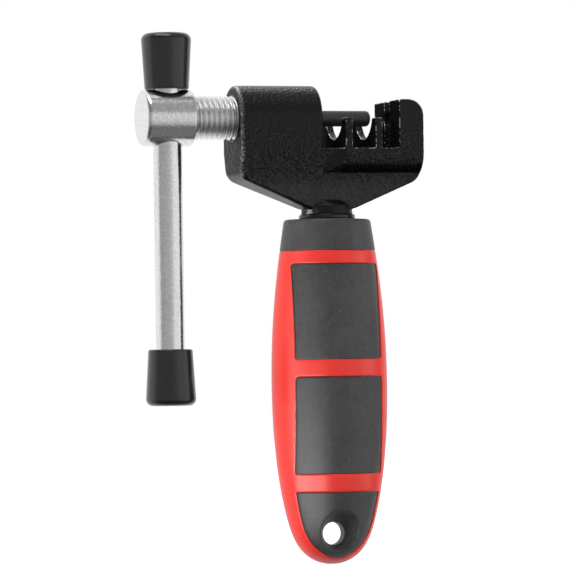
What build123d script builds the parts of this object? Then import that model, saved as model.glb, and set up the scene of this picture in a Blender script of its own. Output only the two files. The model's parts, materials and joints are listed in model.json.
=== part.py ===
# Bicycle chain tool: a cast head with two chain cradles and an anvil jaw, a threaded drive screw
# with a sliding tommy bar, a press pin, and an overmoulded two-colour handle below the head.
#
# Millimetres. The origin is the centre of the rivet exit bore in the anvil jaw. +X is the way the
# screw drives the press pin, +Z is up, and the handle hangs down along -Z. The tool is symmetric
# about the plane Y = 0.
from build123d import *

import os

# ---- driving dimensions -------------------------------------------------------------------

# Gap on the radius of every sliding or turning fit, and between faces that only touch at a stop.
RUNNING_GAP = 0.05

# Anvil jaw and chain cradles.
JAW_HALF_THICKNESS = 2.9
JAW_TOP_Z = 4.0
JAW_TOP_CORNER_RADIUS = 3.6
JAW_BOTTOM_CORNER_RADIUS = 3.2
EXIT_BORE_RADIUS = 2.2
EXIT_GROOVE_RADIUS = 1.8
CRADLE_HALF_WIDTH = 8.9
CRADLE_FLOOR_Z = -7.1
CRADLE_BOTTOM_Z = -13.1
CRADLE_UNDERSIDE_RADIUS = 5.2
CRADLE_NARROW_HALF_WIDTH = 6.4
CRADLE_NARROW_LENGTH = 4.6
FIN_THICKNESS = 1.6
FIN_LEFT_X = (-15.7, -8.6)
FIN_TIP_Z = -0.2
SEAT_RADIUS = 6.2
SEAT_BOTTOM_Z = -4.7

# Screw barrel and the web under it.
BARREL_LEFT_X = -40.0
BARREL_RIGHT_X = -20.5
BARREL_RADIUS = 7.4
BARREL_EDGE = 0.9
WEB_TAPER_START_Z = -8.0
WEB_LEFT_CORNER_Z = -13.7
WEB_LEFT_CORNER_RADIUS = 3.0
WEB_RIGHT_CORNER_Z = -14.0
WEB_BOTTOM_Z = -20.6
WEB_BOTTOM_HALF_DEPTH = 3.7

# Neck, and the stud that ties the head to the handle.
HANDLE_X = -17.7
NECK_TOP_Z = -18.9
NECK_SHOULDER_Z = -19.9
NECK_BOTTOM_Z = -21.9
NECK_TOP_RADIUS = 4.7
NECK_SHOULDER_RADIUS = 5.6
NECK_BOTTOM_RADIUS = 5.9
WASHER_RADIUS = 6.4
WASHER_THICKNESS = 1.1
WASHER_EDGE = 0.3
STUD_RADIUS = 3.0
STUD_IN_HEAD = 9.5
STUD_IN_HANDLE = 21.0
STUD_EDGE = 0.5
INSERT_RADIUS = 4.5
INSERT_BELOW_WASHER = 4.0
INSERT_LENGTH = 17.0
INSERT_GROOVE_WIDTH = 1.6
INSERT_GROOVE_DEPTH = 0.6

# Handle: half-widths of its front outline at fractions of its length below the top.
HANDLE_LENGTH = 78.4
HANDLE_HALF_WIDTH = 13.4
HANDLE_OUTLINE = (
    (0.0, 10.0),
    (0.25, 12.6),
    (0.48, HANDLE_HALF_WIDTH),
    (0.68, 12.7),
    (0.86, 10.4),
    (0.95, 7.6),
)
HANDLE_TOP_SLOPE = (0.16, 0, -1)
HANDLE_SECTIONS = 28
HANDLE_TIP_FRACTION = 0.992
HANDLE_DEPTH_RATIO = 0.8
COLLAR_LENGTH = 7.2
COLLAR_WALL = 2.2
COLLAR_LIP = 1.4
COLLAR_EDGE = 0.8
PAD_SINK = 0.45
POCKET_FLOOR_Y = 7.0
POCKET_FLOOR_RADIUS = 14.0
END_POCKET_FLOOR_Y = 2.6
PAD_HALF_WIDTH = 10.2
PAD_CORNER_RADIUS = 0.8
UPPER_PAD_Z = (-54.9, -33.2)
MIDDLE_PAD_Z = (-80.8, -58.8)
END_PAD_TOP_Z = -84.9
END_PAD_RIM = 1.8
HANG_HOLE_Z = -94.4
HANG_HOLE_RADIUS = 2.6
HANG_HOLE_STRAIGHT = 3.0
HANG_DISH_RADIUS = 5.8
HANG_DISH_Y = 9.0
HANG_LINER_RADIUS = 5.6

# Drive screw, M10 x 1.25, with a cross hole for the bar in its head.
THREAD_RADIUS = 5.0
THREAD_PITCH = 1.25
THREAD_DEPTH = 0.65
SCREW_HEAD_RADIUS = 6.4
SCREW_HEAD_LEFT_X = -61.3
SCREW_HEAD_RIGHT_X = -49.8
SCREW_HEAD_EDGE = 0.9
SCREW_HEAD_BACK_EDGE = 0.5
SCREW_NOSE_X = -25.2
SCREW_NOSE_PLAIN = 1.5

# Press pin and its retainer in the nose of the screw.
PIN_RADIUS = 1.8
PIN_TIP_X = -7.3
PIN_TIP_EDGE = 0.9
PIN_COLLAR_RADIUS = 2.9
PIN_COLLAR_THICKNESS = 1.5
PIN_POCKET_DEPTH = 7.0

# Tommy bar and its end caps.
BAR_X = -55.2
BAR_RADIUS = 3.25
BAR_EDGE = 0.5
BAR_OVERALL_LENGTH = 84.0
CAP_LENGTH = 12.7
CAP_MOUTH_RADIUS = 5.0
CAP_END_RADIUS = 5.75
CAP_END_WALL = 2.2
CAP_END_EDGE = 1.6
CAP_MOUTH_EDGE = 0.4

# ---- worked out from the dimensions above ------------------------------------------------

HANDLE_TOP_Z = NECK_BOTTOM_Z - WASHER_THICKNESS
HANDLE_END_Z = HANDLE_TOP_Z - HANDLE_LENGTH
PIN_POCKET_RADIUS = PIN_COLLAR_RADIUS + RUNNING_GAP
PIN_POCKET_END_X = SCREW_NOSE_X - PIN_POCKET_DEPTH
BAR_TOP_Z = SCREW_HEAD_RADIUS + RUNNING_GAP + CAP_LENGTH
BAR_BOTTOM_Z = BAR_TOP_Z - BAR_OVERALL_LENGTH

# Longer than any part, for cutting shapes that have to pass right through.
THROUGH = 60.0


# ---- helpers ------------------------------------------------------------------------------

def rod_x(radius, start_x, end_x):
    """A round bar along X on the press axis."""
    return Pos((start_x + end_x) / 2, 0, 0) * Rot(0, 90, 0) * Cylinder(radius, end_x - start_x)


def rod_z(radius, bottom_z, top_z, x=0.0):
    """A round bar along Z."""
    return Pos(x, 0, (bottom_z + top_z) / 2) * Cylinder(radius, top_z - bottom_z)


def rod_y(radius, half_length, x, z):
    """A round bar along Y, centred on the middle plane."""
    return Pos(x, 0, z) * Rot(90, 0, 0) * Cylinder(radius, 2 * half_length)


def cone_z(bottom_radius, top_radius, bottom_z, top_z, x=0.0):
    """A round taper along Z."""
    return Pos(x, 0, (bottom_z + top_z) / 2) * Cone(bottom_radius, top_radius, top_z - bottom_z)


def front_prism(points, half_depth):
    """A closed outline of (x, z) corners, made solid to both sides of the middle plane."""
    outline = make_face(Polyline(*[(x, 0, z) for x, z in points], close=True))
    return extrude(outline, amount=half_depth, dir=(0, 1, 0), both=True)


def side_prism(points, start_x, end_x):
    """A closed outline of (y, z) corners, made solid from start_x to end_x."""
    outline = make_face(Polyline(*[(start_x, y, z) for y, z in points], close=True))
    return extrude(outline, amount=end_x - start_x, dir=(1, 0, 0))


def block(low, high):
    """A box between two opposite corners."""
    size = [top - bottom for bottom, top in zip(low, high)]
    middle = [(bottom + top) / 2 for bottom, top in zip(low, high)]
    return Pos(*middle) * Box(*size)


def edges_near(shape, axis, along, position, reach=0.2):
    """The edges parallel to axis whose centres lie at a position measured on another axis."""
    parallel = shape.edges().filter_by(axis)
    return parallel.filter_by_position(along, position - reach, position + reach)


# ---- head ---------------------------------------------------------------------------------

def barrel_and_web():
    """The screw barrel, with the web that narrows from it down to the neck."""
    front = front_prism(
        (
            (BARREL_LEFT_X, BARREL_RADIUS),
            (BARREL_RIGHT_X, BARREL_RADIUS),
            (BARREL_RIGHT_X, WEB_TAPER_START_Z),
            (JAW_HALF_THICKNESS, WEB_TAPER_START_Z),
            (JAW_HALF_THICKNESS, WEB_RIGHT_CORNER_Z),
            (HANDLE_X + NECK_SHOULDER_RADIUS, WEB_BOTTOM_Z),
            (HANDLE_X - NECK_SHOULDER_RADIUS, WEB_BOTTOM_Z),
            (BARREL_LEFT_X, WEB_LEFT_CORNER_Z),
        ),
        BARREL_RADIUS,
    )
    front = fillet(edges_near(front, Axis.Y, Axis.Z, WEB_LEFT_CORNER_Z), WEB_LEFT_CORNER_RADIUS)
    front = fillet(edges_near(front, Axis.Y, Axis.Z, WEB_RIGHT_CORNER_Z), JAW_BOTTOM_CORNER_RADIUS)
    section = side_prism(
        (
            (-BARREL_RADIUS, 0),
            (-BARREL_RADIUS, WEB_TAPER_START_Z),
            (-WEB_BOTTOM_HALF_DEPTH, WEB_BOTTOM_Z),
            (WEB_BOTTOM_HALF_DEPTH, WEB_BOTTOM_Z),
            (BARREL_RADIUS, WEB_TAPER_START_Z),
            (BARREL_RADIUS, 0),
        ),
        -THROUGH,
        THROUGH,
    )
    section += rod_x(BARREL_RADIUS, -THROUGH, THROUGH)
    body = front & section
    ends = body.faces().filter_by(Axis.X).filter_by_position(Axis.X, BARREL_LEFT_X - 1, BARREL_RIGHT_X + 1)
    return fillet(ends.edges().filter_by_position(Axis.Z, -11, BARREL_RADIUS + 1), BARREL_EDGE)


def cradle_block():
    """The wider block on the right that carries the cradles and the jaw, before it is cut."""
    start_x = HANDLE_X - CRADLE_NARROW_LENGTH / 2
    full_x = start_x + CRADLE_NARROW_LENGTH
    plan_points = (
        (start_x, -CRADLE_NARROW_HALF_WIDTH),
        (full_x, -CRADLE_HALF_WIDTH),
        (JAW_HALF_THICKNESS, -CRADLE_HALF_WIDTH),
        (JAW_HALF_THICKNESS, CRADLE_HALF_WIDTH),
        (full_x, CRADLE_HALF_WIDTH),
        (start_x, CRADLE_NARROW_HALF_WIDTH),
    )
    plan = make_face(Polyline(*[(x, y, CRADLE_BOTTOM_Z) for x, y in plan_points], close=True))
    body = extrude(plan, amount=JAW_TOP_Z - CRADLE_BOTTOM_Z, dir=(0, 0, 1))
    section = side_prism(
        (
            (-CRADLE_HALF_WIDTH, CRADLE_BOTTOM_Z),
            (CRADLE_HALF_WIDTH, CRADLE_BOTTOM_Z),
            (CRADLE_HALF_WIDTH, JAW_TOP_Z),
            (-CRADLE_HALF_WIDTH, JAW_TOP_Z),
        ),
        -THROUGH,
        THROUGH,
    )
    section = fillet(edges_near(section, Axis.X, Axis.Z, CRADLE_BOTTOM_Z), CRADLE_UNDERSIDE_RADIUS)
    body = body & section
    outer = edges_near(body, Axis.Y, Axis.X, JAW_HALF_THICKNESS)
    return fillet(outer.sort_by(Axis.Z)[-1], JAW_TOP_CORNER_RADIUS)


def cradle_gaps():
    """What is cleared away above the cradle floor to leave the two fins and the jaw standing."""
    half = CRADLE_HALF_WIDTH + 1
    above = JAW_TOP_Z + 1
    stops = [BARREL_RIGHT_X]
    for left_x in FIN_LEFT_X:
        stops += [left_x, left_x + FIN_THICKNESS]
    stops.append(-JAW_HALF_THICKNESS)
    gaps = Part()
    for left_x, right_x in zip(stops[0::2], stops[1::2]):
        gaps += block((left_x, -half, CRADLE_FLOOR_Z), (right_x, half, above))
    gaps += block((BARREL_RIGHT_X, -half, FIN_TIP_Z), (-JAW_HALF_THICKNESS, half, above))
    seat_centre_z = SEAT_BOTTOM_Z + SEAT_RADIUS
    gaps += Pos(0, 0, seat_centre_z) * rod_x(SEAT_RADIUS, BARREL_RIGHT_X, -JAW_HALF_THICKNESS - 0.01)
    return gaps


def neck():
    """The round neck that flares out of the web and carries the stud."""
    collar = cone_z(NECK_SHOULDER_RADIUS, NECK_TOP_RADIUS, NECK_SHOULDER_Z, NECK_TOP_Z, HANDLE_X)
    return collar + cone_z(NECK_BOTTOM_RADIUS, NECK_SHOULDER_RADIUS, NECK_BOTTOM_Z, NECK_SHOULDER_Z, HANDLE_X)


def tool_head():
    """The whole casting, with its screw bore, exit bore and stud hole."""
    body = barrel_and_web() + cradle_block() - cradle_gaps() + neck()
    body -= rod_x(THREAD_RADIUS + RUNNING_GAP, BARREL_LEFT_X - 1, BARREL_RIGHT_X + 1)
    body -= rod_x(EXIT_BORE_RADIUS, -JAW_HALF_THICKNESS - 1, JAW_HALF_THICKNESS + 1)
    body -= rod_z(EXIT_GROOVE_RADIUS, CRADLE_FLOOR_Z, JAW_TOP_Z + 1, -JAW_HALF_THICKNESS)
    body -= rod_z(STUD_RADIUS, NECK_BOTTOM_Z - 1, NECK_BOTTOM_Z + STUD_IN_HEAD, HANDLE_X)
    return body


# ---- stud, insert and washer between head and handle -----------------------------------------

def neck_washer():
    ring = rod_z(WASHER_RADIUS, HANDLE_TOP_Z, NECK_BOTTOM_Z, HANDLE_X)
    ring = fillet(ring.edges(), WASHER_EDGE)
    return ring - rod_z(STUD_RADIUS, HANDLE_TOP_Z - 1, NECK_BOTTOM_Z + 1, HANDLE_X)


def neck_stud():
    top_z = NECK_BOTTOM_Z + STUD_IN_HEAD
    stud = rod_z(STUD_RADIUS, HANDLE_TOP_Z - STUD_IN_HANDLE, top_z, HANDLE_X)
    return chamfer(stud.edges(), STUD_EDGE)


def stud_insert():
    """A metal sleeve moulded into the handle, with grooves that stop it from pulling out."""
    top_z = HANDLE_TOP_Z - INSERT_BELOW_WASHER
    bottom_z = top_z - INSERT_LENGTH
    sleeve = rod_z(INSERT_RADIUS, bottom_z, top_z, HANDLE_X)
    for fraction in (1 / 3, 2 / 3):
        groove_z = bottom_z + fraction * INSERT_LENGTH
        low_z = groove_z - INSERT_GROOVE_WIDTH / 2
        high_z = groove_z + INSERT_GROOVE_WIDTH / 2
        ring = rod_z(INSERT_RADIUS, low_z, high_z, HANDLE_X)
        sleeve -= ring - rod_z(INSERT_RADIUS - INSERT_GROOVE_DEPTH, low_z, high_z, HANDLE_X)
    return sleeve - neck_stud()


# ---- handle -------------------------------------------------------------------------------

def grip_side(inset):
    """The right-hand side of the handle's front outline, shrunk towards its top centre."""
    width_factor = 1 - inset / HANDLE_HALF_WIDTH
    length = HANDLE_LENGTH - inset
    corners = []
    for fraction, half_width in HANDLE_OUTLINE:
        corners.append((half_width * width_factor, 0, HANDLE_TOP_Z - fraction * length))
    end = (0, 0, HANDLE_TOP_Z - length)
    return Spline(*corners, end, tangents=(HANDLE_TOP_SLOPE, (-1, 0, 0)))


def grip_form(inset=0.0):
    """The outer shape of the handle, oval in section, or the same shape shrunk by an inset."""
    side = grip_side(inset)
    sections = []
    for step in range(HANDLE_SECTIONS):
        point = side @ (step / HANDLE_SECTIONS)
        sections.append(Pos(HANDLE_X, 0, point.Z) * Ellipse(point.X, point.X * HANDLE_DEPTH_RATIO))
    tip = side @ HANDLE_TIP_FRACTION
    sections.append(Pos(HANDLE_X, 0, tip.Z) * Ellipse(tip.X, tip.X * HANDLE_DEPTH_RATIO))
    return loft(sections)


def grip_outline(inset, y):
    """The front outline of the handle as a face at one depth."""
    half = grip_side(inset)
    end = half @ 1
    half = make_face(half + Polyline(end, (0, 0, HANDLE_TOP_Z), half @ 0))
    return Pos(HANDLE_X, y, 0) * (half + mirror(half, Plane.YZ))


def handle_slab(bottom_z, top_z):
    """Everything around the handle between two heights."""
    return block((HANDLE_X - THROUGH, -THROUGH, bottom_z), (HANDLE_X + THROUGH, THROUGH, top_z))


def collar_spigot():
    """The part of the handle body that the collar fits over."""
    return grip_form(COLLAR_WALL) & handle_slab(HANDLE_TOP_Z - COLLAR_LENGTH, HANDLE_TOP_Z - COLLAR_LIP)


def grip_collar():
    body = grip_form() & handle_slab(HANDLE_TOP_Z - COLLAR_LENGTH, HANDLE_TOP_Z + 1)
    body = fillet(body.edges().sort_by(Axis.Z)[-1], COLLAR_EDGE)
    body -= collar_spigot()
    return body - rod_z(STUD_RADIUS, HANDLE_TOP_Z - COLLAR_LENGTH, HANDLE_TOP_Z + 1, HANDLE_X)


def pocket_cutter(z_range, facing):
    """The pocket of an upper or middle pad: straight sides in front view over a rounded floor."""
    low_z, high_z = z_range
    near_y, far_y = sorted((0, facing * THROUGH))
    window = block((HANDLE_X - PAD_HALF_WIDTH, near_y, low_z), (HANDLE_X + PAD_HALF_WIDTH, far_y, high_z))
    window = fillet(window.edges().filter_by(Axis.Y), PAD_CORNER_RADIUS)
    floor_centre_y = facing * (POCKET_FLOOR_Y - POCKET_FLOOR_RADIUS)
    return window - Pos(0, floor_centre_y, 0) * rod_z(POCKET_FLOOR_RADIUS, low_z - 1, high_z + 1, HANDLE_X)


def end_pocket_cutter(facing):
    """The pocket of the end pad, which follows the rounded end of the handle over a flat floor."""
    outline = grip_outline(END_PAD_RIM, facing * END_POCKET_FLOOR_Y)
    window = extrude(outline, amount=THROUGH, dir=(0, facing, 0))
    return window & handle_slab(HANDLE_END_Z, END_PAD_TOP_Z)


def pad(z_range, facing):
    return grip_form(PAD_SINK) & pocket_cutter(z_range, facing)


def hang_hole():
    """The hole through the end of the handle, straight in the middle and dished on both faces."""
    hole = rod_y(HANG_HOLE_RADIUS, THROUGH, HANDLE_X, HANG_HOLE_Z)
    dish_depth = HANG_DISH_Y - HANG_HOLE_STRAIGHT / 2
    dish = Cone(HANG_HOLE_RADIUS, HANG_DISH_RADIUS, dish_depth)
    for turn in (90, -90):
        outward = -1 if turn > 0 else 1
        middle_y = outward * (HANG_HOLE_STRAIGHT + dish_depth) / 2
        hole += Pos(HANDLE_X, middle_y, HANG_HOLE_Z) * Rot(turn, 0, 0) * dish
    return hole


def end_pad():
    """Front and rear end pads, joined into one moulding by the lining of the hang hole."""
    pockets = end_pocket_cutter(1) + end_pocket_cutter(-1)
    pockets += rod_y(HANG_LINER_RADIUS, THROUGH, HANDLE_X, HANG_HOLE_Z)
    return (grip_form(PAD_SINK) & pockets) - hang_hole()


def handle_body():
    """The hard moulded core, with pockets for the pads and the metal parts."""
    body = grip_form() & handle_slab(HANDLE_END_Z - 1, HANDLE_TOP_Z - COLLAR_LENGTH)
    body += collar_spigot()
    for facing in (1, -1):
        body -= pocket_cutter(UPPER_PAD_Z, facing)
        body -= pocket_cutter(MIDDLE_PAD_Z, facing)
        body -= end_pocket_cutter(facing)
    body -= rod_y(HANG_LINER_RADIUS, THROUGH, HANDLE_X, HANG_HOLE_Z)
    return body - neck_stud() - stud_insert()


# ---- drive screw, press pin and retainer -----------------------------------------------------

def threaded_core():
    """The threaded length of the screw, drawn as one ridge per pitch and turned about its axis."""
    outline = [(SCREW_HEAD_RIGHT_X, 0)]
    turns = int((SCREW_NOSE_X - SCREW_HEAD_RIGHT_X - SCREW_NOSE_PLAIN) / THREAD_PITCH)
    root_radius = THREAD_RADIUS - THREAD_DEPTH
    for turn in range(turns):
        start_x = SCREW_HEAD_RIGHT_X + turn * THREAD_PITCH
        outline.append((start_x, root_radius))
        outline.append((start_x + THREAD_PITCH * 0.45, THREAD_RADIUS))
        outline.append((start_x + THREAD_PITCH * 0.55, THREAD_RADIUS))
    outline.append((SCREW_HEAD_RIGHT_X + turns * THREAD_PITCH, root_radius))
    outline.append((SCREW_NOSE_X, root_radius))
    outline.append((SCREW_NOSE_X, 0))
    face = make_face(Polyline(*[(x, 0, radius) for x, radius in outline], close=True))
    return revolve(face, Axis.X)


def screw_head():
    head = rod_x(SCREW_HEAD_RADIUS, SCREW_HEAD_LEFT_X, SCREW_HEAD_RIGHT_X)
    head = fillet(head.edges().sort_by(Axis.X)[0], SCREW_HEAD_EDGE)
    return fillet(head.edges().sort_by(Axis.X)[-1], SCREW_HEAD_BACK_EDGE)


def drive_screw():
    body = screw_head() + threaded_core() - rod_x(PIN_POCKET_RADIUS, PIN_POCKET_END_X, SCREW_NOSE_X + 1)
    return body - rod_z(BAR_RADIUS + RUNNING_GAP, -THROUGH, THROUGH, BAR_X)


def drive_pin():
    """The press pin, with a collar that its retainer holds in the nose of the screw."""
    collar_start = PIN_POCKET_END_X + RUNNING_GAP
    shaft = rod_x(PIN_RADIUS, collar_start, PIN_TIP_X)
    shaft = fillet(shaft.edges().sort_by(Axis.X)[-1], PIN_TIP_EDGE)
    return shaft + rod_x(PIN_COLLAR_RADIUS, collar_start, collar_start + PIN_COLLAR_THICKNESS)


def pin_retainer():
    """A bush pressed into the nose of the screw, which the pin turns freely in."""
    start_x = PIN_POCKET_END_X + PIN_COLLAR_THICKNESS + 2 * RUNNING_GAP
    bush = rod_x(PIN_POCKET_RADIUS, start_x, SCREW_NOSE_X)
    return bush - rod_x(PIN_RADIUS + RUNNING_GAP, start_x - 1, SCREW_NOSE_X + 1)


# ---- tommy bar and caps ------------------------------------------------------------------------

def tommy_bar():
    bar = rod_z(BAR_RADIUS, BAR_BOTTOM_Z + CAP_END_WALL, BAR_TOP_Z - CAP_END_WALL, BAR_X)
    return chamfer(bar.edges(), BAR_EDGE)


def bar_cap(end_z, inward):
    """A tapered cap pushed over one end of the bar; inward is +1 or -1 along Z."""
    cap = Cone(CAP_END_RADIUS, CAP_MOUTH_RADIUS, CAP_LENGTH, align=(Align.CENTER, Align.CENTER, Align.MIN))
    cap = fillet(cap.edges().sort_by(Axis.Z)[0], CAP_END_EDGE)
    cap = fillet(cap.edges().sort_by(Axis.Z)[-1], CAP_MOUTH_EDGE)
    if inward < 0:
        cap = Rot(180, 0, 0) * cap
    return Pos(BAR_X, 0, end_z) * cap - tommy_bar()


def all_nodes():
    """Every separate piece of the tool by its name."""
    nodes = {
        "tool_head": tool_head(),
        "neck_washer": neck_washer(),
        "neck_stud": neck_stud(),
        "stud_insert": stud_insert(),
        "handle_body": handle_body(),
        "grip_collar": grip_collar(),
        "end_pad": end_pad(),
        "drive_screw": drive_screw(),
        "drive_pin": drive_pin(),
        "pin_retainer": pin_retainer(),
        "tommy_bar": tommy_bar(),
        "upper_bar_cap": bar_cap(BAR_TOP_Z, -1),
        "lower_bar_cap": bar_cap(BAR_BOTTOM_Z, 1),
    }
    for side, facing in (("front", -1), ("rear", 1)):
        nodes[f"{side}_upper_pad"] = pad(UPPER_PAD_Z, facing)
        nodes[f"{side}_middle_pad"] = pad(MIDDLE_PAD_Z, facing)
    return nodes


os.makedirs("parts", exist_ok=True)
for name, shape in all_nodes().items():
    export_step(shape, f"parts/{name}.step")
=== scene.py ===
"""Looks for the bicycle chain tool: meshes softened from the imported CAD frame, a helical drive screw,
procedural materials, studio light and the camera. Everything is in metres, in the frame's axes."""

import json
import math

import bmesh
import bpy
from mathutils import Matrix, Vector

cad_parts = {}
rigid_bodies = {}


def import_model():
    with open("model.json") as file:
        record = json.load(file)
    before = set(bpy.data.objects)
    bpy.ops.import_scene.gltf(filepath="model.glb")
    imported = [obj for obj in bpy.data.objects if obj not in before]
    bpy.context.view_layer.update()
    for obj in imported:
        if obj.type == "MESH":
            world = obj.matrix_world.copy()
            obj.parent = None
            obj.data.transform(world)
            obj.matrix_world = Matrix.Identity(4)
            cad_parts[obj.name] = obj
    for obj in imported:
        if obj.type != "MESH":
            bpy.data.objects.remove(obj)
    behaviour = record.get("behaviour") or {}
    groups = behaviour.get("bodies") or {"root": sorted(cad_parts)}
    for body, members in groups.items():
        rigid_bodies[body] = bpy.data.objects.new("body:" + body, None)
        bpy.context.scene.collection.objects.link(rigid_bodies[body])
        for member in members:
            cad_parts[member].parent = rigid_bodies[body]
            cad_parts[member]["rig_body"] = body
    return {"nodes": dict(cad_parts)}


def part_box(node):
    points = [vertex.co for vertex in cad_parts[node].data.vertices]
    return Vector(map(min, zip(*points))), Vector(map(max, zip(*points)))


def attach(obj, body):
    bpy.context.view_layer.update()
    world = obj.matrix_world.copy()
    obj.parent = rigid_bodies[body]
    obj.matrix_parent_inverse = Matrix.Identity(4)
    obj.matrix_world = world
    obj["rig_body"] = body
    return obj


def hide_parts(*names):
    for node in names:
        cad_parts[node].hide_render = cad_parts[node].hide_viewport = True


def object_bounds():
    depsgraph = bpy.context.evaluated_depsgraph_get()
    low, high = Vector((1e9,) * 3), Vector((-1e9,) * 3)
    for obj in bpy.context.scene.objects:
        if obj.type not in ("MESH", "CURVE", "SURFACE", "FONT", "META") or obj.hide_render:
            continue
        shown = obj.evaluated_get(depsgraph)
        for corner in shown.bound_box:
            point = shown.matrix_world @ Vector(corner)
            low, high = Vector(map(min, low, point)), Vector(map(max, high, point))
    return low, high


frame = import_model()
CAD_LOW, CAD_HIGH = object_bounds()

MM = 0.001

# Places worked out from the frame. The bar stands in the middle of the screw's head.
SCREW_LOW, SCREW_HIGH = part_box("drive_screw")
BAR_LOW, BAR_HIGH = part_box("tommy_bar")
BAR_X = (BAR_LOW.x + BAR_HIGH.x) / 2
HEAD_CHAMFER = 0.7 * MM
HEAD_RIGHT_X = 2 * BAR_X - SCREW_LOW.x - HEAD_CHAMFER
PIN_POCKET_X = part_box("drive_pin")[0].x
PIN_POCKET_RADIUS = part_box("pin_retainer")[1].z
CASTING_LEFT_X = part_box("tool_head")[0].x

# The soft pieces moulded over the handle.
SOFT_NODES = (
    "grip_collar", "end_pad", "front_upper_pad", "rear_upper_pad", "front_middle_pad", "rear_middle_pad",
)

# Drive screw thread, M10 x 1.25. The flank runs between these two places from crest (0) to valley (1),
# and the ridge grows to its full height between these two distances from the head.
THREAD_PITCH = 1.25 * MM
THREAD_CREST = 5.0 * MM
THREAD_ROOT = 4.3 * MM
THREAD_FLANK = (0.14, 0.9)
THREAD_RUN_OUT = (0.3 * MM, 1.2 * MM)
THREAD_SIDES = 128
THREAD_ROWS_PER_TURN = 14
SHANK_OVERLAP = 0.8 * MM
NOSE_CHAMFER = 0.5 * MM
POCKET_CHAMFER = 0.15 * MM

# The head is cut from the CAD screw this far left of its shoulder, after joining points this close.
CUT_FROM_SHOULDER = 0.001 * MM
SAME_POINT = 0.0001 * MM

# Grid of each softened mesh, and how many times it is relaxed.
CASTING_GRID = (0.15 * MM, 7)
SHELL_GRID = (0.18 * MM, 8)
MOULDING_GRID = (0.16 * MM, 4)
SCREW_HEAD_GRID = (0.11 * MM, 4)

# Lumps of the casting's skin.
CASTING_LUMP = 0.55 * MM
CASTING_LUMP_HEIGHT = 0.035 * MM

# Where the casting's paint and its painted highlight change, each as (none, full) along X or Z.
CRADLE_SIDE = (-17 * MM, -16 * MM)
CRADLE_HEIGHT = (-9 * MM, -8 * MM)
PEBBLES_BELOW = (0.0, -5 * MM)
PEBBLES_ABOVE = (-17 * MM, -11 * MM)
# The next two bands bound a painted highlight on the barrel's lower left rim.
RIM_HIGHLIGHT_SIDE = (CASTING_LEFT_X + 1.4 * MM, CASTING_LEFT_X + 0.9 * MM)
RIM_HIGHLIGHT_HEIGHT = (-14 * MM, -13 * MM)

# Curvature from which an edge of the casting counts as sharp or as soft, each as (none, full).
SHARP_EDGE = (0.515, 0.55)
SOFT_EDGE = (0.505, 0.52)

# How far a face of the casting looks left or down, each as (none, full).
LOOKS_LEFT = (-0.88, -0.96)
LOOKS_DOWN = (-0.45, -0.75)

# The casting's paint, each as (in the light, in the dark).
PAINT_IOR = (1.5, 1.04)
PAINT_SPECULAR = (0.30, 0.03)

# Camera, with its angles in degrees.
CAMERA_YAW = -17.5
CAMERA_PITCH = -1.2
CAMERA_ROLL = -0.86
CAMERA_DISTANCE = 1.0
CAMERA_TARGET = Vector((-27.24, 0.0, -38.53)) * MM
FRAME_WIDTH = 130.8 * MM
SENSOR_WIDTH = 36.0
NEAREST_SEEN = 10 * MM

# Studio floor.
FLOOR_DROP = 60 * MM
FLOOR_HALF_WIDTH = 6.0


# ---- mesh helpers ---------------------------------------------------------------------------

def link(name, data):
    """A new object in the scene that shows a mesh, a camera or a light."""
    piece = bpy.data.objects.new(name, data)
    bpy.context.scene.collection.objects.link(piece)
    return piece


def bake_modifiers(piece):
    """Replaces a piece's mesh by what its modifiers make of it."""
    graph = bpy.context.evaluated_depsgraph_get()
    baked = bpy.data.meshes.new_from_object(piece.evaluated_get(graph))
    piece.modifiers.clear()
    piece.data = baked
    return piece


def soften(piece, voxel, smoothing):
    """Rebuilds a mesh on an even grid and relaxes it, which rounds every edge like a casting's."""
    remesh = piece.modifiers.new("grid", "REMESH")
    remesh.mode = "VOXEL"
    remesh.voxel_size = voxel
    remesh.use_smooth_shade = True
    relax = piece.modifiers.new("relax", "SMOOTH")
    relax.factor = 0.5
    relax.iterations = smoothing
    return bake_modifiers(piece)


def roughen(piece, grain, height):
    """Raises a fine skin of lumps on a mesh."""
    lumps = bpy.data.textures.new(piece.name + "_lumps", "CLOUDS")
    lumps.noise_scale = grain
    lumps.noise_depth = 1
    displace = piece.modifiers.new("lumps", "DISPLACE")
    displace.texture = lumps
    displace.texture_coords = "LOCAL"
    displace.strength = height
    displace.mid_level = 0.5
    return bake_modifiers(piece)


def softened_copy(node, name, voxel, smoothing):
    """A new piece made from a CAD node's shape, which it stands for."""
    piece = link(name, frame["nodes"][node].data.copy())
    soften(piece, voxel, smoothing)
    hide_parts(node)
    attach(piece, frame["nodes"][node]["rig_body"])
    return piece


def shade_smooth(piece):
    piece.data.shade_smooth()
    return piece


# ---- drive screw ----------------------------------------------------------------------------

def ease(value, low, high):
    """0 below low, 1 above high, smooth in between."""
    share = min(1.0, max(0.0, (value - low) / (high - low)))
    return share * share * (3 - 2 * share)


def thread_radius(x, turn):
    """Radius of the threaded shank at x and at an angle given in turns, right-handed about +X."""
    start_x, end_x = HEAD_RIGHT_X, SCREW_HIGH.x
    phase = ((x - start_x) / THREAD_PITCH - turn) % 1.0
    from_crest = abs(phase - 0.5) * 2
    ridge = 1 - ease(from_crest, *THREAD_FLANK)
    run_out = ease(x - start_x, *THREAD_RUN_OUT)
    radius = THREAD_ROOT + (THREAD_CREST - THREAD_ROOT) * ridge * run_out
    nose_limit = THREAD_ROOT - NOSE_CHAMFER + (end_x - x)
    return min(radius, nose_limit)


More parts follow.
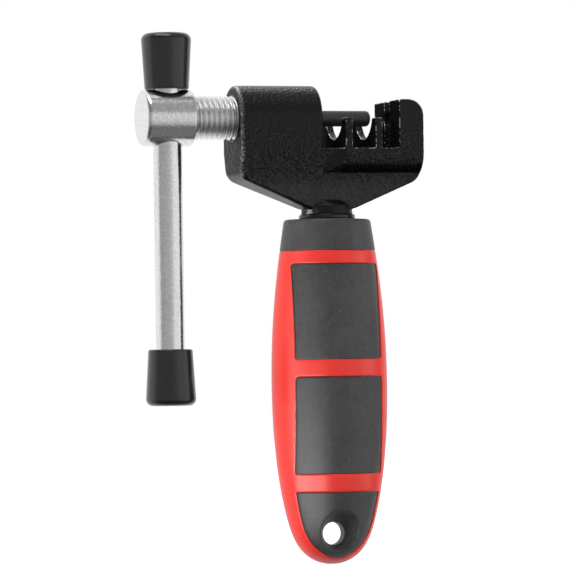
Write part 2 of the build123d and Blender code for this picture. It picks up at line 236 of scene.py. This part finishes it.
def shank_rings():
    """(x, radius, threaded) of each ring, from inside the head, over the nose and into the pin pocket."""
    start_x, end_x = HEAD_RIGHT_X, SCREW_HIGH.x
    rings = [(start_x - SHANK_OVERLAP, THREAD_ROOT, False)]
    rows = round((end_x - start_x) / THREAD_PITCH * THREAD_ROWS_PER_TURN)
    for row in range(rows + 1):
        rings.append((start_x + (end_x - start_x) * row / rows, None, True))
    rings.append((end_x, PIN_POCKET_RADIUS + POCKET_CHAMFER, False))
    rings.append((end_x - POCKET_CHAMFER, PIN_POCKET_RADIUS, False))
    rings.append((PIN_POCKET_X, PIN_POCKET_RADIUS, False))
    return rings


def threaded_shank():
    """The screw's shank as one closed mesh."""
    mesh = bmesh.new()
    previous = None
    first = None
    for x, radius, threaded in shank_rings():
        ring = []
        for side in range(THREAD_SIDES):
            turn = side / THREAD_SIDES
            reach = thread_radius(x, turn) if threaded else radius
            angle = turn * 2 * math.pi
            ring.append(mesh.verts.new((x, reach * math.cos(angle), reach * math.sin(angle))))
        if previous:
            for side in range(THREAD_SIDES):
                after = (side + 1) % THREAD_SIDES
                mesh.faces.new((previous[side], ring[side], ring[after], previous[after]))
        first = first or ring
        previous = ring
    mesh.faces.new(reversed(first))
    mesh.faces.new(previous)
    bmesh.ops.recalc_face_normals(mesh, faces=mesh.faces)
    shank = bpy.data.meshes.new("threaded_shank")
    mesh.to_mesh(shank)
    mesh.free()
    return shank


def cross_drilled_head():
    """The head of the screw, cut from the CAD screw just left of its shoulder and closed."""
    mesh = bmesh.new()
    mesh.from_mesh(frame["nodes"]["drive_screw"].data)
    bmesh.ops.remove_doubles(mesh, verts=mesh.verts, dist=SAME_POINT)
    cut = bmesh.ops.bisect_plane(
        mesh,
        geom=mesh.verts[:] + mesh.edges[:] + mesh.faces[:],
        plane_co=(HEAD_RIGHT_X - CUT_FROM_SHOULDER, 0, 0),
        plane_no=(1, 0, 0),
        clear_outer=True,
    )
    rim = [part for part in cut["geom_cut"] if isinstance(part, bmesh.types.BMEdge)]
    bmesh.ops.edgeloop_fill(mesh, edges=rim)
    head = bpy.data.meshes.new("screw_head")
    mesh.to_mesh(head)
    mesh.free()
    return head


def make_drive_screw():
    """The head and the threaded shank as one piece."""
    head = soften(link("drive_screw_turned", cross_drilled_head()), *SCREW_HEAD_GRID)
    shank = threaded_shank()
    mesh = bmesh.new()
    mesh.from_mesh(head.data)
    mesh.from_mesh(shank)
    mesh.to_mesh(head.data)
    mesh.free()
    bpy.data.meshes.remove(shank)
    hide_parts("drive_screw")
    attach(head, frame["nodes"]["drive_screw"]["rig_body"])
    return shade_smooth(head)


# ---- node helpers ---------------------------------------------------------------------------

class Nodes:
    """Short ways to add shader nodes to one node tree."""

    def __init__(self, tree):
        self.tree = tree

    def add(self, kind, **settings):
        """A node of one kind, with its properties set."""
        made = self.tree.nodes.new(kind)
        for name, value in settings.items():
            setattr(made, name, value)
        return made

    def feed(self, socket, value):
        """Links an output to an input, or sets the input to a plain value."""
        if isinstance(value, bpy.types.NodeSocket):
            self.tree.links.new(value, socket)
        else:
            socket.default_value = value

    def math(self, operation, first, second=0.0):
        """The result of one operation on two values."""
        made = self.add("ShaderNodeMath", operation=operation)
        self.feed(made.inputs[0], first)
        self.feed(made.inputs[1], second)
        return made.outputs[0]

    def product(self, first, *others):
        """Everything multiplied together."""
        result = first
        for other in others:
            result = self.math("MULTIPLY", result, other)
        return result

    def mixed(self, first, share, second):
        """A share of the first value, and the rest of the second."""
        return self.math("ADD", self.product(first, share), self.product(second, 1 - share))

    def scaled(self, value, factor, offset):
        """value times factor, plus offset."""
        made = self.add("ShaderNodeMath", operation="MULTIPLY_ADD")
        self.feed(made.inputs[0], value)
        made.inputs[1].default_value = factor
        made.inputs[2].default_value = offset
        return made.outputs[0]

    def noise(self, vector, scale, detail=3.0, roughness=0.55):
        """Soft irregular noise, around 0.5."""
        made = self.add("ShaderNodeTexNoise")
        self.feed(made.inputs["Vector"], vector)
        made.inputs["Scale"].default_value = scale
        made.inputs["Detail"].default_value = detail
        made.inputs["Roughness"].default_value = roughness
        return made.outputs["Fac"]

    def cells(self, vector, scale):
        """Distance to the nearest of many scattered points, smoothed between them."""
        made = self.add("ShaderNodeTexVoronoi", feature="SMOOTH_F1")
        self.feed(made.inputs["Vector"], vector)
        made.inputs["Scale"].default_value = scale
        return made.outputs["Distance"]

    def axes(self, vector, *wanted):
        """The wanted components of a vector, by number."""
        parts = self.add("ShaderNodeSeparateXYZ")
        self.feed(parts.inputs[0], vector)
        return [parts.outputs[index] for index in wanted]

    def distance_from_x_axis(self, vector):
        """Distance of a position from the screw's axis."""
        made = self.add("ShaderNodeVectorMath", operation="LENGTH")
        self.feed(made.inputs[0], self.stretch(vector, (0.0, 1.0, 1.0)))
        return made.outputs["Value"]

    def stretch(self, vector, factors):
        """Scales a vector by a factor per axis."""
        made = self.add("ShaderNodeMapping", vector_type="POINT")
        self.feed(made.inputs["Vector"], vector)
        made.inputs["Scale"].default_value = factors
        return made.outputs["Vector"]

    def ramp(self, value, *stops):
        """A colour ramp through (position, grey level) stops."""
        made = self.add("ShaderNodeValToRGB")
        self.feed(made.inputs["Fac"], value)
        points = made.color_ramp.elements
        while len(points) < len(stops):
            points.new(0.5)
        for point, (position, level) in zip(points, stops):
            point.position = position
            point.color = (level, level, level, 1)
        return made.outputs["Color"]

    def between(self, value, low, high):
        """Rescales a 0 to 1 value to low to high."""
        made = self.add("ShaderNodeMapRange")
        self.feed(made.inputs["Value"], value)
        made.inputs["To Min"].default_value = low
        made.inputs["To Max"].default_value = high
        return made.outputs["Result"]

    def window(self, value, low, high):
        """0 below low, 1 above high, smooth in between."""
        made = self.add("ShaderNodeMapRange", interpolation_type="SMOOTHSTEP")
        self.feed(made.inputs["Value"], value)
        made.inputs["From Min"].default_value = low
        made.inputs["From Max"].default_value = high
        return made.outputs["Result"]

    def blend(self, factor, first, second):
        """Mixes two colours by a factor."""
        made = self.add("ShaderNodeMix", data_type="RGBA")
        self.feed(made.inputs["Factor"], factor)
        self.feed(made.inputs["A"], first)
        self.feed(made.inputs["B"], second)
        return made.outputs["Result"]

    def bump(self, height, distance, strength=1.0, normal=None):
        """A normal tilted as if the surface were raised by the height times the distance."""
        made = self.add("ShaderNodeBump")
        made.inputs["Distance"].default_value = distance
        self.feed(made.inputs["Strength"], strength)
        self.feed(made.inputs["Height"], height)
        if normal is not None:
            self.feed(made.inputs["Normal"], normal)
        return made.outputs["Normal"]


def new_material(name):
    """A material with its node helper, principled shader and object coordinates."""
    material = bpy.data.materials.new(name)
    material.use_nodes = True
    nodes = Nodes(material.node_tree)
    shader = material.node_tree.nodes["Principled BSDF"]
    place = nodes.add("ShaderNodeTexCoord").outputs["Object"]
    return material, nodes, shader, place


def grey(level):
    return (level, level, level, 1)


def clothe(piece, material):
    """Gives a piece its material."""
    if piece.data.materials:
        for index in range(len(piece.data.materials)):
            piece.data.materials[index] = material
    else:
        piece.data.materials.append(material)


# ---- materials ------------------------------------------------------------------------------

def powder_coat():
    """Black powder coat: pebbled low down, with a painted highlight along the barrel's rim, chipped along
    the cradle and jaw.
    """
    material, nodes, shader, place = new_material("powder_coat")
    side, height = nodes.axes(place, 0, 2)
    geometry = nodes.add("ShaderNodeNewGeometry").outputs
    facing_side, facing_height = nodes.axes(geometry["True Normal"], 0, 2)
    edge = nodes.window(geometry["Pointiness"], *SHARP_EDGE)
    soft_edge = nodes.window(geometry["Pointiness"], *SOFT_EDGE)
    patches = nodes.noise(place, 160, 3.0)

    on_right = nodes.window(side, *CRADLE_SIDE)
    in_cradle = nodes.product(on_right, nodes.window(height, *CRADLE_HEIGHT))
    # Painted highlight: a light line on the soft edge of the barrel's lower left rim.
    painted_rim_highlight = nodes.product(soft_edge, nodes.window(side, *RIM_HIGHLIGHT_SIDE), nodes.window(height, *RIM_HIGHLIGHT_HEIGHT))
    chips = nodes.window(nodes.noise(place, 1100, 2.0), 0.52, 0.58)
    worn = nodes.product(edge, chips, in_cradle)

    black = nodes.blend(patches, grey(0.002), grey(0.005))
    thin = nodes.blend(nodes.product(edge, 0.35), black, grey(0.02))
    # The painted highlight turns the rim's soft edge light grey.
    paint = nodes.blend(painted_rim_highlight, thin, grey(0.14))
    nodes.feed(shader.inputs["Base Color"], nodes.blend(worn, paint, grey(0.6)))
    nodes.feed(shader.inputs["Metallic"], worn)
    nodes.feed(shader.inputs["Roughness"], nodes.between(patches, 0.28, 0.42))

    # Surfaces that a studio would leave in the dark reflect less.
    left_face = nodes.product(nodes.window(facing_side, *LOOKS_LEFT), nodes.between(in_cradle, 0.5, 1.0))
    underside = nodes.product(nodes.window(facing_height, *LOOKS_DOWN), on_right)
    shaded = nodes.math("MAXIMUM", left_face, underside)
    nodes.feed(shader.inputs["IOR"], nodes.between(shaded, *PAINT_IOR))
    nodes.feed(shader.inputs["Specular IOR Level"], nodes.between(shaded, *PAINT_SPECULAR))

    low_down = nodes.product(nodes.window(height, *PEBBLES_BELOW), nodes.window(height, *PEBBLES_ABOVE))
    pebbling = nodes.product(nodes.between(low_down, 0.3, 1.0), nodes.between(edge, 1.0, 0.2))
    pebbles = nodes.between(nodes.cells(place, 1650), 1.0, 0.0)
    coarse = nodes.bump(pebbles, 0.32 * MM, pebbling)
    nodes.feed(shader.inputs["Normal"], nodes.bump(nodes.noise(place, 3200, 2.0), 0.03 * MM, 0.4, coarse))
    return material


def gloss_paint():
    """Smooth black paint on the neck washer."""
    material, nodes, shader, place = new_material("gloss_paint")
    flow = nodes.noise(place, 500, 3.0)
    nodes.feed(shader.inputs["Base Color"], nodes.blend(flow, grey(0.002), grey(0.004)))
    nodes.feed(shader.inputs["Roughness"], nodes.between(flow, 0.14, 0.30))
    nodes.feed(shader.inputs["Normal"], nodes.bump(flow, 0.03 * MM, 0.3))
    return material


def plated_steel(name, along_factors, matt_from_x=None):
    """Bright zinc plating with streaks; from an X on it is threaded and matt, with painted shade darkening
    the valleys.
    """
    material, nodes, shader, place = new_material(name)
    streaks = nodes.noise(nodes.stretch(place, along_factors), 900, 4.0, 0.6)
    mottle = nodes.noise(place, 1700, 2.0, 0.5)
    clouds = nodes.noise(place, 420, 4.0, 0.6)
    contrast = nodes.window(nodes.mixed(streaks, 0.35, mottle), 0.36, 0.64)
    roughness = nodes.between(clouds, 0.12, 0.24)
    bright = grey(0.90)
    dull = grey(0.76)
    if matt_from_x is not None:
        side, = nodes.axes(place, 0)
        on_thread = nodes.window(side, matt_from_x, matt_from_x + 0.2 * MM)
        roughness = nodes.math("ADD", roughness, nodes.product(on_thread, 0.16))
        # Painted shade: the colour darkens from the crest down into the thread's valleys.
        crest = nodes.window(nodes.distance_from_x_axis(place), THREAD_ROOT, THREAD_CREST - 0.1 * MM)
        dull = nodes.blend(on_thread, dull, nodes.blend(crest, grey(0.62), grey(0.92)))
        bright = nodes.blend(on_thread, bright, nodes.blend(crest, grey(0.76), grey(0.97)))
    nodes.feed(shader.inputs["Base Color"], nodes.blend(contrast, dull, bright))
    shader.inputs["Metallic"].default_value = 1.0
    nodes.feed(shader.inputs["Roughness"], roughness)
    lines = nodes.bump(streaks, 0.010 * MM, 0.5)
    nodes.feed(shader.inputs["Normal"], nodes.bump(mottle, 0.070 * MM, 0.5, lines))
    return material


def black_oxide():
    """Blackened hardened steel of the press pin."""
    material, nodes, shader, place = new_material("black_oxide")
    streaks = nodes.noise(nodes.stretch(place, (8.0, 1.0, 1.0)), 700, 3.0)
    nodes.feed(shader.inputs["Base Color"], nodes.blend(streaks, grey(0.045), grey(0.085)))
    shader.inputs["Metallic"].default_value = 0.35
    nodes.feed(shader.inputs["Roughness"], nodes.between(streaks, 0.30, 0.5))
    nodes.feed(shader.inputs["Normal"], nodes.bump(streaks, 0.01 * MM, 0.4))
    return material


def plain_steel():
    """Bare turned steel of the hidden stud and bush."""
    material, nodes, shader, place = new_material("turned_steel")
    rings = nodes.noise(nodes.stretch(place, (6.0, 1.0, 6.0)), 800, 3.0)
    nodes.feed(shader.inputs["Base Color"], nodes.blend(rings, grey(0.42), grey(0.60)))
    shader.inputs["Metallic"].default_value = 1.0
    nodes.feed(shader.inputs["Roughness"], nodes.between(rings, 0.25, 0.42))
    nodes.feed(shader.inputs["Normal"], nodes.bump(rings, 0.01 * MM, 0.4))
    return material


def brass():
    """Turned brass of the hidden insert."""
    material, nodes, shader, place = new_material("turned_brass")
    rings = nodes.noise(nodes.stretch(place, (1.0, 1.0, 6.0)), 800, 3.0)
    colour = nodes.blend(rings, (0.55, 0.38, 0.16, 1), (0.74, 0.55, 0.27, 1))
    nodes.feed(shader.inputs["Base Color"], colour)
    shader.inputs["Metallic"].default_value = 1.0
    nodes.feed(shader.inputs["Roughness"], nodes.between(rings, 0.22, 0.4))
    nodes.feed(shader.inputs["Normal"], nodes.bump(rings, 0.01 * MM, 0.4))
    return material


def cap_plastic():
    """Glossy black moulded plastic with a few fine scuffs."""
    material, nodes, shader, place = new_material("cap_plastic")
    flow = nodes.noise(place, 260, 3.0)
    scuffs = nodes.window(nodes.noise(nodes.stretch(place, (9.0, 9.0, 1.2)), 420, 3.0), 0.62, 0.70)
    nodes.feed(shader.inputs["Base Color"], nodes.blend(flow, grey(0.008), grey(0.014)))
    shader.inputs["IOR"].default_value = 1.58
    shader.inputs["Sheen Weight"].default_value = 0.12
    shader.inputs["Sheen Roughness"].default_value = 0.4
    smooth = nodes.between(flow, 0.12, 0.22)
    nodes.feed(shader.inputs["Roughness"], nodes.math("ADD", smooth, nodes.product(scuffs, 0.12)))
    nodes.feed(shader.inputs["Normal"], nodes.bump(flow, 0.06 * MM, 0.3))
    return material


def red_plastic():
    """Satin red moulded plastic: faint flow marks and a fine spark-eroded skin."""
    material, nodes, shader, place = new_material("red_plastic")
    flow = nodes.noise(nodes.stretch(place, (1.0, 1.0, 0.35)), 180, 3.0)
    skin = nodes.noise(place, 3800, 2.0)
    colour = nodes.blend(flow, (0.72, 0.022, 0.014, 1), (0.82, 0.034, 0.022, 1))
    nodes.feed(shader.inputs["Base Color"], colour)
    nodes.feed(shader.inputs["Roughness"], nodes.between(flow, 0.28, 0.38))
    shader.inputs["Subsurface Weight"].default_value = 0.06
    shader.inputs["Subsurface Radius"].default_value = (1.0, 0.2, 0.1)
    shader.inputs["Subsurface Scale"].default_value = 0.8 * MM
    ripples = nodes.bump(flow, 0.10 * MM, 0.25)
    nodes.feed(shader.inputs["Normal"], nodes.bump(skin, 0.012 * MM, 0.35, ripples))
    return material


def grey_rubber():
    """Matt grey soft moulding: fine grain, faint handling marks and dust."""
    material, nodes, shader, place = new_material("grey_rubber")
    grain = nodes.noise(place, 4200, 3.0, 0.7)
    pores = nodes.cells(place, 2400)
    marks = nodes.noise(place, 130, 5.0, 0.6)
    dust = nodes.window(nodes.noise(place, 1900, 2.0), 0.66, 0.74)
    mottle = nodes.noise(place, 900, 3.0, 0.7)
    tone = nodes.window(nodes.mixed(marks, 0.5, mottle), 0.36, 0.64)
    colour = nodes.blend(tone, grey(0.028), grey(0.047))
    nodes.feed(shader.inputs["Base Color"], nodes.blend(nodes.product(dust, 0.35), colour, grey(0.16)))
    nodes.feed(shader.inputs["Roughness"], nodes.between(marks, 0.40, 0.54))
    shader.inputs["Sheen Weight"].default_value = 0.15
    shader.inputs["Sheen Roughness"].default_value = 0.5
    coarse = nodes.bump(pores, 0.02 * MM, 0.35)
    nodes.feed(shader.inputs["Normal"], nodes.bump(grain, 0.02 * MM, 0.5, coarse))
    return material


def studio_white():
    """Pale paper of the studio floor, which shines a little by itself."""
    material, nodes, shader, place = new_material("studio_white")
    mottle = nodes.noise(place, 6.0, 2.0)
    nodes.feed(shader.inputs["Base Color"], nodes.blend(mottle, grey(0.86), grey(0.90)))
    shader.inputs["Roughness"].default_value = 0.9
    shader.inputs["Emission Color"].default_value = grey(1.0)
    shader.inputs["Emission Strength"].default_value = 0.75
    return material


# ---- pieces ---------------------------------------------------------------------------------

def dress_cad_node(node, material):
    """Gives a material to a CAD node whose own mesh is shown."""
    clothe(frame["nodes"][node], material)


def make_head():
    """The casting, with its lumpy skin."""
    head = softened_copy("tool_head", "cast_head", *CASTING_GRID)
    roughen(head, CASTING_LUMP, CASTING_LUMP_HEIGHT)
    clothe(shade_smooth(head), powder_coat())
    return head


def make_handle():
    """The hard shell and the soft mouldings on it."""
    shell = softened_copy("handle_body", "handle_shell", *SHELL_GRID)
    clothe(shade_smooth(shell), red_plastic())
    # The shell is left out of reflections, so the plated metal beside it shows no red.
    shell.visible_glossy = False
    pieces = [shell]
    rubber = grey_rubber()
    for node in SOFT_NODES:
        moulding = softened_copy(node, node + "_moulded", *MOULDING_GRID)
        clothe(shade_smooth(moulding), rubber)
        pieces.append(moulding)
    return pieces


def make_press():
    """The screw, the pin, and the bar with its caps."""
    screw = make_drive_screw()
    clothe(screw, plated_steel("plated_screw", (14.0, 1.0, 1.0), HEAD_RIGHT_X))
    dress_cad_node("tommy_bar", plated_steel("plated_bar", (1.0, 1.0, 0.07)))
    dress_cad_node("drive_pin", black_oxide())
    caps = cap_plastic()
    for node in ("upper_bar_cap", "lower_bar_cap"):
        dress_cad_node(node, caps)


def make_joint_metal():
    """The neck washer, the hidden stud and its insert, and the bush in the nose of the screw."""
    steel = plain_steel()
    dress_cad_node("pin_retainer", steel)
    dress_cad_node("neck_stud", steel)
    dress_cad_node("stud_insert", brass())
    dress_cad_node("neck_washer", gloss_paint())


# ---- studio ---------------------------------------------------------------------------------

def camera_direction(bearing, elevation):
    """A direction from the tool, by degrees to the right of the camera and degrees up."""
    turn = math.radians(CAMERA_YAW + bearing)
    rise = math.radians(elevation)
    return Vector((math.sin(turn) * math.cos(rise), -math.cos(turn) * math.cos(rise), math.sin(rise)))


def make_camera():
    """A long lens at the height of the handle's belly, turned to the screw's side."""
    back = camera_direction(0, CAMERA_PITCH)
    level = camera_direction(90, 0)
    upright = back.cross(level)
    roll = math.radians(CAMERA_ROLL)
    right = level * math.cos(roll) + upright * math.sin(roll)
    up = upright * math.cos(roll) - level * math.sin(roll)
    camera = link("camera", bpy.data.cameras.new("camera"))
    camera.data.sensor_width = SENSOR_WIDTH
    camera.data.lens = SENSOR_WIDTH * CAMERA_DISTANCE / FRAME_WIDTH
    camera.data.clip_start = NEAREST_SEEN
    turn = Matrix((right, up, back)).transposed()
    camera.matrix_world = Matrix.Translation(CAMERA_TARGET + back * CAMERA_DISTANCE) @ turn.to_4x4()
    bpy.context.scene.camera = camera


def make_floor():
    """A wide pale floor below the hanging tool. It is left out of the tool's reflections and light."""
    mesh = bmesh.new()
    bmesh.ops.create_grid(mesh, x_segments=1, y_segments=1, size=FLOOR_HALF_WIDTH)
    floor_mesh = bpy.data.meshes.new("floor")
    mesh.to_mesh(floor_mesh)
    mesh.free()
    floor = link("floor", floor_mesh)
    floor.location.z = CAD_LOW.z - FLOOR_DROP
    floor.data.materials.append(studio_white())
    floor.visible_glossy = False
    floor.visible_diffuse = False


def make_area_light(name, aim, distance, size, power, in_reflections=True, only=None):
    """A soft rectangular light that faces the middle of the tool, and can be kept to some pieces."""
    lamp = link(name, bpy.data.lights.new(name, "AREA"))
    lamp.data.shape = "RECTANGLE"
    lamp.data.size, lamp.data.size_y = size
    lamp.data.energy = power
    lamp.location = (CAD_LOW + CAD_HIGH) / 2 + aim * distance
    lamp.rotation_mode = "QUATERNION"
    lamp.rotation_quaternion = aim.to_track_quat("Z", "Y")
    lamp.visible_glossy = in_reflections
    lamp.visible_camera = False
    if only:
        lit = bpy.data.collections.new(name + "_pieces")
        for piece in only:
            lit.objects.link(piece)
        lamp.light_linking.receiver_collection = lit


def make_lights(head, handle_pieces):
    """Two side fills and a top box for everything, then lights that only one part of the tool sees."""
    make_area_light(
        "left_fill", camera_direction(-56, 4), distance=1.0, size=(0.7, 0.9), power=9.0,
        in_reflections=False,
    )
    make_area_light(
        "right_fill", camera_direction(88, 5), distance=1.0, size=(0.5, 0.9), power=8.0,
        in_reflections=False,
    )
    above_in_front = Vector((-0.25, -0.2, 1.0)).normalized()
    above_behind = Vector((-0.25, 0.6, 1.0)).normalized()
    make_area_light("top_box", above_in_front, distance=0.6, size=(0.5, 0.25), power=1.4)
    make_area_light("casting_top", above_behind, distance=0.6, size=(0.5, 0.25), power=3.2, only=[head])
    make_area_light(
        "casting_edge_strip", camera_direction(-88, 0), distance=0.6, size=(0.22, 0.5), power=9.0,
        only=[head],
    )
    make_area_light(
        "handle_sheen", camera_direction(-30, -20), distance=0.8, size=(1.05, 0.36), power=11.0,
        only=handle_pieces,
    )
    make_area_light(
        "web_sheen", camera_direction(35, -30), distance=0.7, size=(0.3, 0.2), power=0.5,
        only=[head],
    )


def bearing_levels(nodes, side, depth):
    """Grey level of the studio by bearing: from behind the tool over its left, front and right."""
    forward = nodes.math("MULTIPLY", depth, -1.0)
    bearing = nodes.math("ARCTAN2", side, forward)
    share = nodes.scaled(bearing, 1 / (2 * math.pi), 0.5)
    degrees_and_levels = (
        (-180, 0.95), (-96, 0.92), (-82, 0.85), (-70, 0.36), (-30, 0.40), (5, 0.44),
        (28, 0.58), (42, 0.84), (92, 0.90), (102, 0.12), (120, 0.12), (130, 0.85), (180, 0.95),
    )
    return nodes.ramp(share, *[(degrees / 360 + 0.5, level) for degrees, level in degrees_and_levels])


def height_levels(nodes, height):
    """How the level of the room in front fades by elevation, in dark and light bands."""
    share = nodes.scaled(height, 0.5, 0.5)
    degrees_and_levels = (
        (-90, 0.60), (-78, 0.20), (-36, 0.22), (-24, 0.72), (-10, 0.95), (14, 1.0),
        (21, 0.52), (50, 0.42), (80, 0.32), (90, 0.80),
    )
    stops = [(math.sin(math.radians(degrees)) / 2 + 0.5, level) for degrees, level in degrees_and_levels]
    return nodes.ramp(share, *stops)


def make_world():
    """White to the camera; for reflections, a room with soft light and dark bands."""
    world = bpy.data.worlds.new("studio")
    bpy.context.scene.world = world
    world.use_nodes = True
    nodes = Nodes(world.node_tree)
    ray = nodes.add("ShaderNodeTexCoord").outputs["Generated"]
    turned = nodes.add("ShaderNodeVectorRotate", rotation_type="Z_AXIS")
    nodes.feed(turned.inputs["Vector"], ray)
    turned.inputs["Angle"].default_value = math.radians(-CAMERA_YAW)
    side, depth, height = nodes.axes(turned.outputs["Vector"], 0, 1, 2)
    behind = nodes.window(depth, 0.0, 0.35)
    fading = nodes.blend(behind, height_levels(nodes, height), grey(1.0))
    level = nodes.math("MULTIPLY", fading, bearing_levels(nodes, side, depth))
    seen = nodes.add("ShaderNodeLightPath").outputs["Is Camera Ray"]
    background = world.node_tree.nodes["Background"]
    nodes.feed(background.inputs["Color"], nodes.blend(seen, level, grey(1.0)))
    background.inputs["Strength"].default_value = 1.0
    bpy.context.scene.view_settings.view_transform = "Standard"


head = make_head()
handle_pieces = make_handle()
make_press()
make_joint_metal()
make_camera()
make_floor()
make_lights(head, handle_pieces)
make_world()
